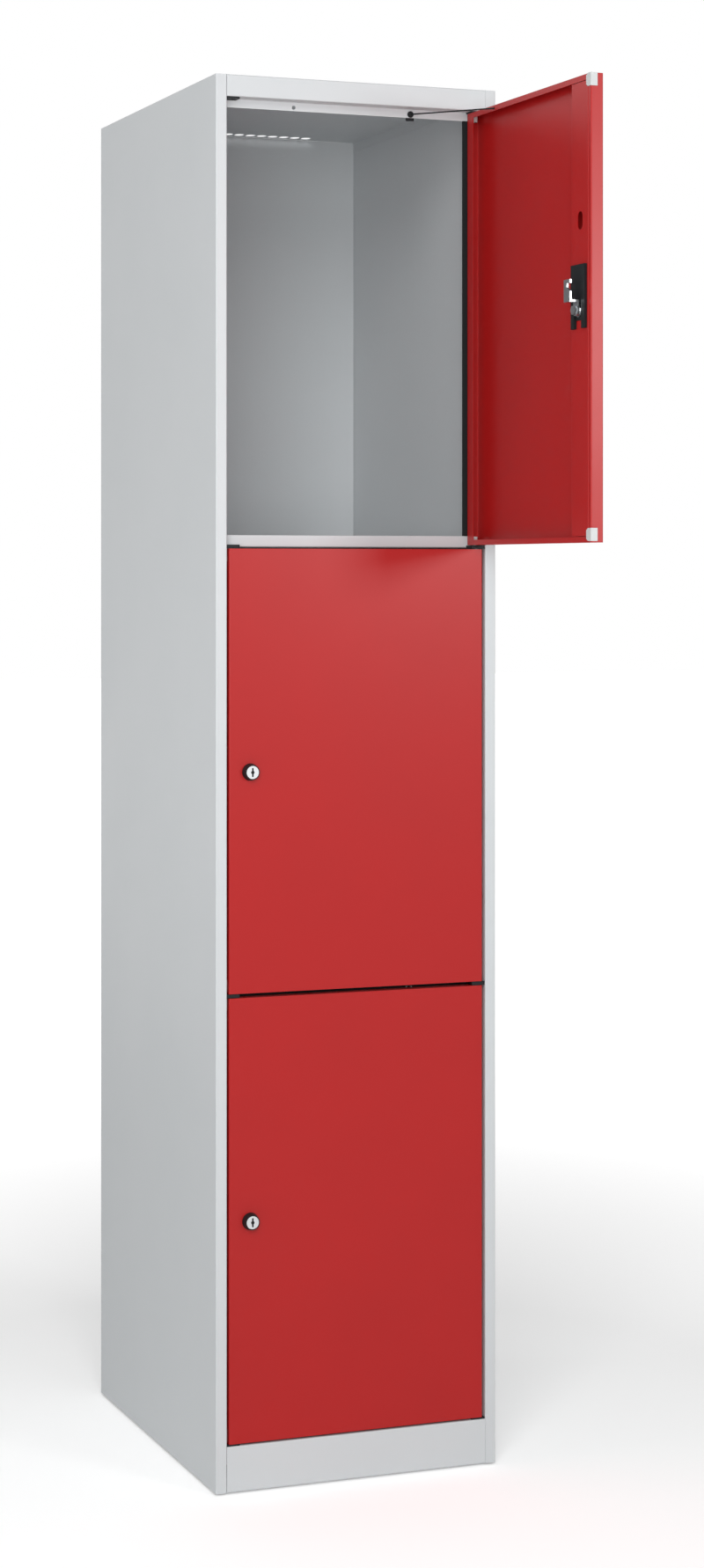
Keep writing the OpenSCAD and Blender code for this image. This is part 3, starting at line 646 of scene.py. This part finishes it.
class LOCKER_OT_stays(bpy.types.Operator):
    """Builds the braided stay cords with their knots"""
    bl_idname = "locker.stays"
    bl_label = "Stays"

    def cord(self, name, route, nylon, stays, knotted=True):
        """One stretch of cord through the route's points, which swells into a knot at its end."""
        path = smooth_path(route, SPAN_STEPS)
        knot_at = len(route) - KNOT_POINTS
        radii = []
        for i in range(len(path)):
            into = (i / SPAN_STEPS - knot_at) / (KNOT_POINTS - 1)
            swell = math.sin(math.pi * min(max(into, 0), 1)) if knotted else 0
            radii.append(stays.cord_width / 2 * (1 + KNOT_SWELL * swell ** 0.5))
        item = tube_mesh(name, path, radii, stays.sides)
        item.data.materials.append(nylon)
        return item

    def execute(self, context):
        stays = context.scene.locker_stays
        nylon = braided_nylon("braided black polyamide cord", STRANDS)
        # The open door pulls its stay straight, from the anchor's rim to the knot behind the lip.
        start, end = Vector(TOP_STAY[0]), Vector(TOP_STAY[1])
        ahead = (end - start).normalized()
        route = [start.lerp(end, share) for share in TAUT_SHARES]
        route += [end - ahead * back * MM for back in TAUT_KNOT]
        taut = self.cord("stay_top_taut", route, nylon, stays)
        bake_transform(taut)
        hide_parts("stay_cord_top")
        for level, height in (("middle", MIDDLE_STAY), ("bottom", BOTTOM_STAY)):
            door = "door_" + level
            origin = Vector((STAY_ANCHOR[0], STAY_ANCHOR[1], height))
            points = [origin + Vector(p) * MM for p in STAY_ROUTE]
            across = self.cord("stay_" + level + "_across", points[:STAY_SPLIT + 1], nylon, stays,
                               knotted=False)
            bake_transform(across)
            tail = self.cord("stay_" + level + "_tail", points[STAY_SPLIT:], nylon, stays)
            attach(tail, door)
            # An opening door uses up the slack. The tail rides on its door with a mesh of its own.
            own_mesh(tail)
            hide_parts("stay_cord_" + level)
            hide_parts("stay_cord_" + level)
        return {"FINISHED"}


# Studio

class LOCKER_OT_studio(bpy.types.Operator):
    """Lays the floor, hangs the lights and sets the camera at the photograph's angle"""
    bl_idname = "locker.studio"
    bl_label = "Studio"

    def execute(self, context):
        scene = context.scene
        studio = scene.locker_studio
        scene.view_settings.view_transform = "Standard"

        mesh = bpy.data.meshes.new("studio_floor")
        corners = [(-1, -1), (1, -1), (1, 1), (-1, 1)]
        mesh.from_pydata([(x * FLOOR_HALF, y * FLOOR_HALF, 0) for x, y in corners], [], [(0, 1, 2, 3)])
        floor = bpy.data.objects.new("studio_floor", mesh)
        scene.collection.objects.link(floor)
        paint = studio_floor("white painted studio floor", studio.floor_hex, studio.floor_lift,
                             studio.floor_gloss)
        mesh.materials.append(paint)

        world = bpy.data.worlds.new("studio_room")
        scene.world = world
        world.use_nodes = True
        world.node_tree.nodes.clear()
        # The camera and shiny parts see a white room, and only matt light is as weak as world_level.
        rays = add(world, "ShaderNodeLightPath").outputs
        seen = computed(world, "MAXIMUM", rays["Is Camera Ray"], rays["Is Glossy Ray"])
        seen = computed(world, "MAXIMUM", seen, rays["Is Transmission Ray"])
        level = spread(world, seen, studio.world_level, 1.0)
        light = add(world, "ShaderNodeBackground", None, Color=(1, 1, 1, 1), Strength=level)
        add(world, "ShaderNodeOutputWorld", None, Surface=light.outputs["Background"])

        # Each lamp's name, power, width, height, place and the point that it is aimed at.
        lamps = [
            ("key_softbox", studio.key_power, 2.4, 1.8, (-1.6, -3.6, 3.4), (0.0, -0.2, 1.3)),
            ("near_softbox", studio.near_power, 1.2, 1.2, (-1.2, -2.7, 1.5), (0.0, -0.3, 1.4)),
            ("side_softbox", studio.side_power, 2.0, 2.0, (-4.2, 0.3, 1.6), (-0.2, -0.1, 1.1)),
            ("reflector", studio.card_power, 0.9, 0.7, (2.07, -4.4, 1.92), (0.19, -0.65, 1.6)),
        ]
        for name, power, wide, tall, place, aim in lamps:
            lamp = bpy.data.lights.new(name, "AREA")
            lamp.shape = "RECTANGLE"
            lamp.size = wide
            lamp.size_y = tall
            lamp.energy = power
            holder = bpy.data.objects.new(name, lamp)
            holder.location = place
            holder.rotation_euler = (Vector(aim) - Vector(place)).to_track_quat("-Z", "Y").to_euler()
            scene.collection.objects.link(holder)

        eye = bpy.data.cameras.new("photo_camera")
        eye.lens = studio.lens
        eye.sensor_width = SENSOR_WIDTH
        # The photograph was cropped from a wider picture, so its middle is off the lens's axis.
        eye.shift_x = (PHOTO_WIDE / 2 - AXIS_ACROSS) / PHOTO_TALL
        eye.shift_y = (AXIS_DOWN - PHOTO_TALL / 2) / PHOTO_TALL
        camera = bpy.data.objects.new("photo_camera", eye)
        camera.location = CAMERA_PLACE
        camera.rotation_euler = (math.pi / 2, 0, -math.atan2(*CAMERA_HEADING))
        scene.collection.objects.link(camera)
        scene.camera = camera
        return {"FINISHED"}


class LOCKER_PT_panel(bpy.types.Panel):
    """Lists the steps that dress the locker"""
    bl_idname = "LOCKER_PT_panel"
    bl_label = "Compartment Locker"
    bl_space_type = "VIEW_3D"
    bl_region_type = "UI"
    bl_category = "Locker"

    def draw(self, context):
        for group in (getattr(context.scene, name) for name in GROUPS):
            box = self.layout.box()
            for name in group.__annotations__:
                box.prop(group, name)
        for step in STEPS:
            self.layout.operator(step.bl_idname)


STEPS = (
    LOCKER_OT_studio,
    LOCKER_OT_sheet_metal,
    LOCKER_OT_hinges,
    LOCKER_OT_gap_strips,
    LOCKER_OT_locks,
    LOCKER_OT_feet,
    LOCKER_OT_stays,
)
GROUPS = {
    "locker_finishes": LockerFinishes,
    "locker_stays": LockerStays,
    "locker_studio": LockerStudio,
}


def register():
    for group in GROUPS.values():
        bpy.utils.register_class(group)
    for step in STEPS:
        bpy.utils.register_class(step)
    bpy.utils.register_class(LOCKER_PT_panel)
    for name, group in GROUPS.items():
        setattr(bpy.types.Scene, name, PointerProperty(type=group))


def unregister():
    for name in GROUPS:
        delattr(bpy.types.Scene, name)
    bpy.utils.unregister_class(LOCKER_PT_panel)
    for step in reversed(STEPS):
        bpy.utils.unregister_class(step)
    for group in GROUPS.values():
        bpy.utils.unregister_class(group)


def main():
    register()
    bpy.ops.locker.studio()
    bpy.ops.locker.sheet_metal()
    bpy.ops.locker.hinges()
    bpy.ops.locker.gap_strips()
    bpy.ops.locker.locks()
    bpy.ops.locker.feet()
    bpy.ops.locker.stays()


if __name__ == "__main__":
    main()
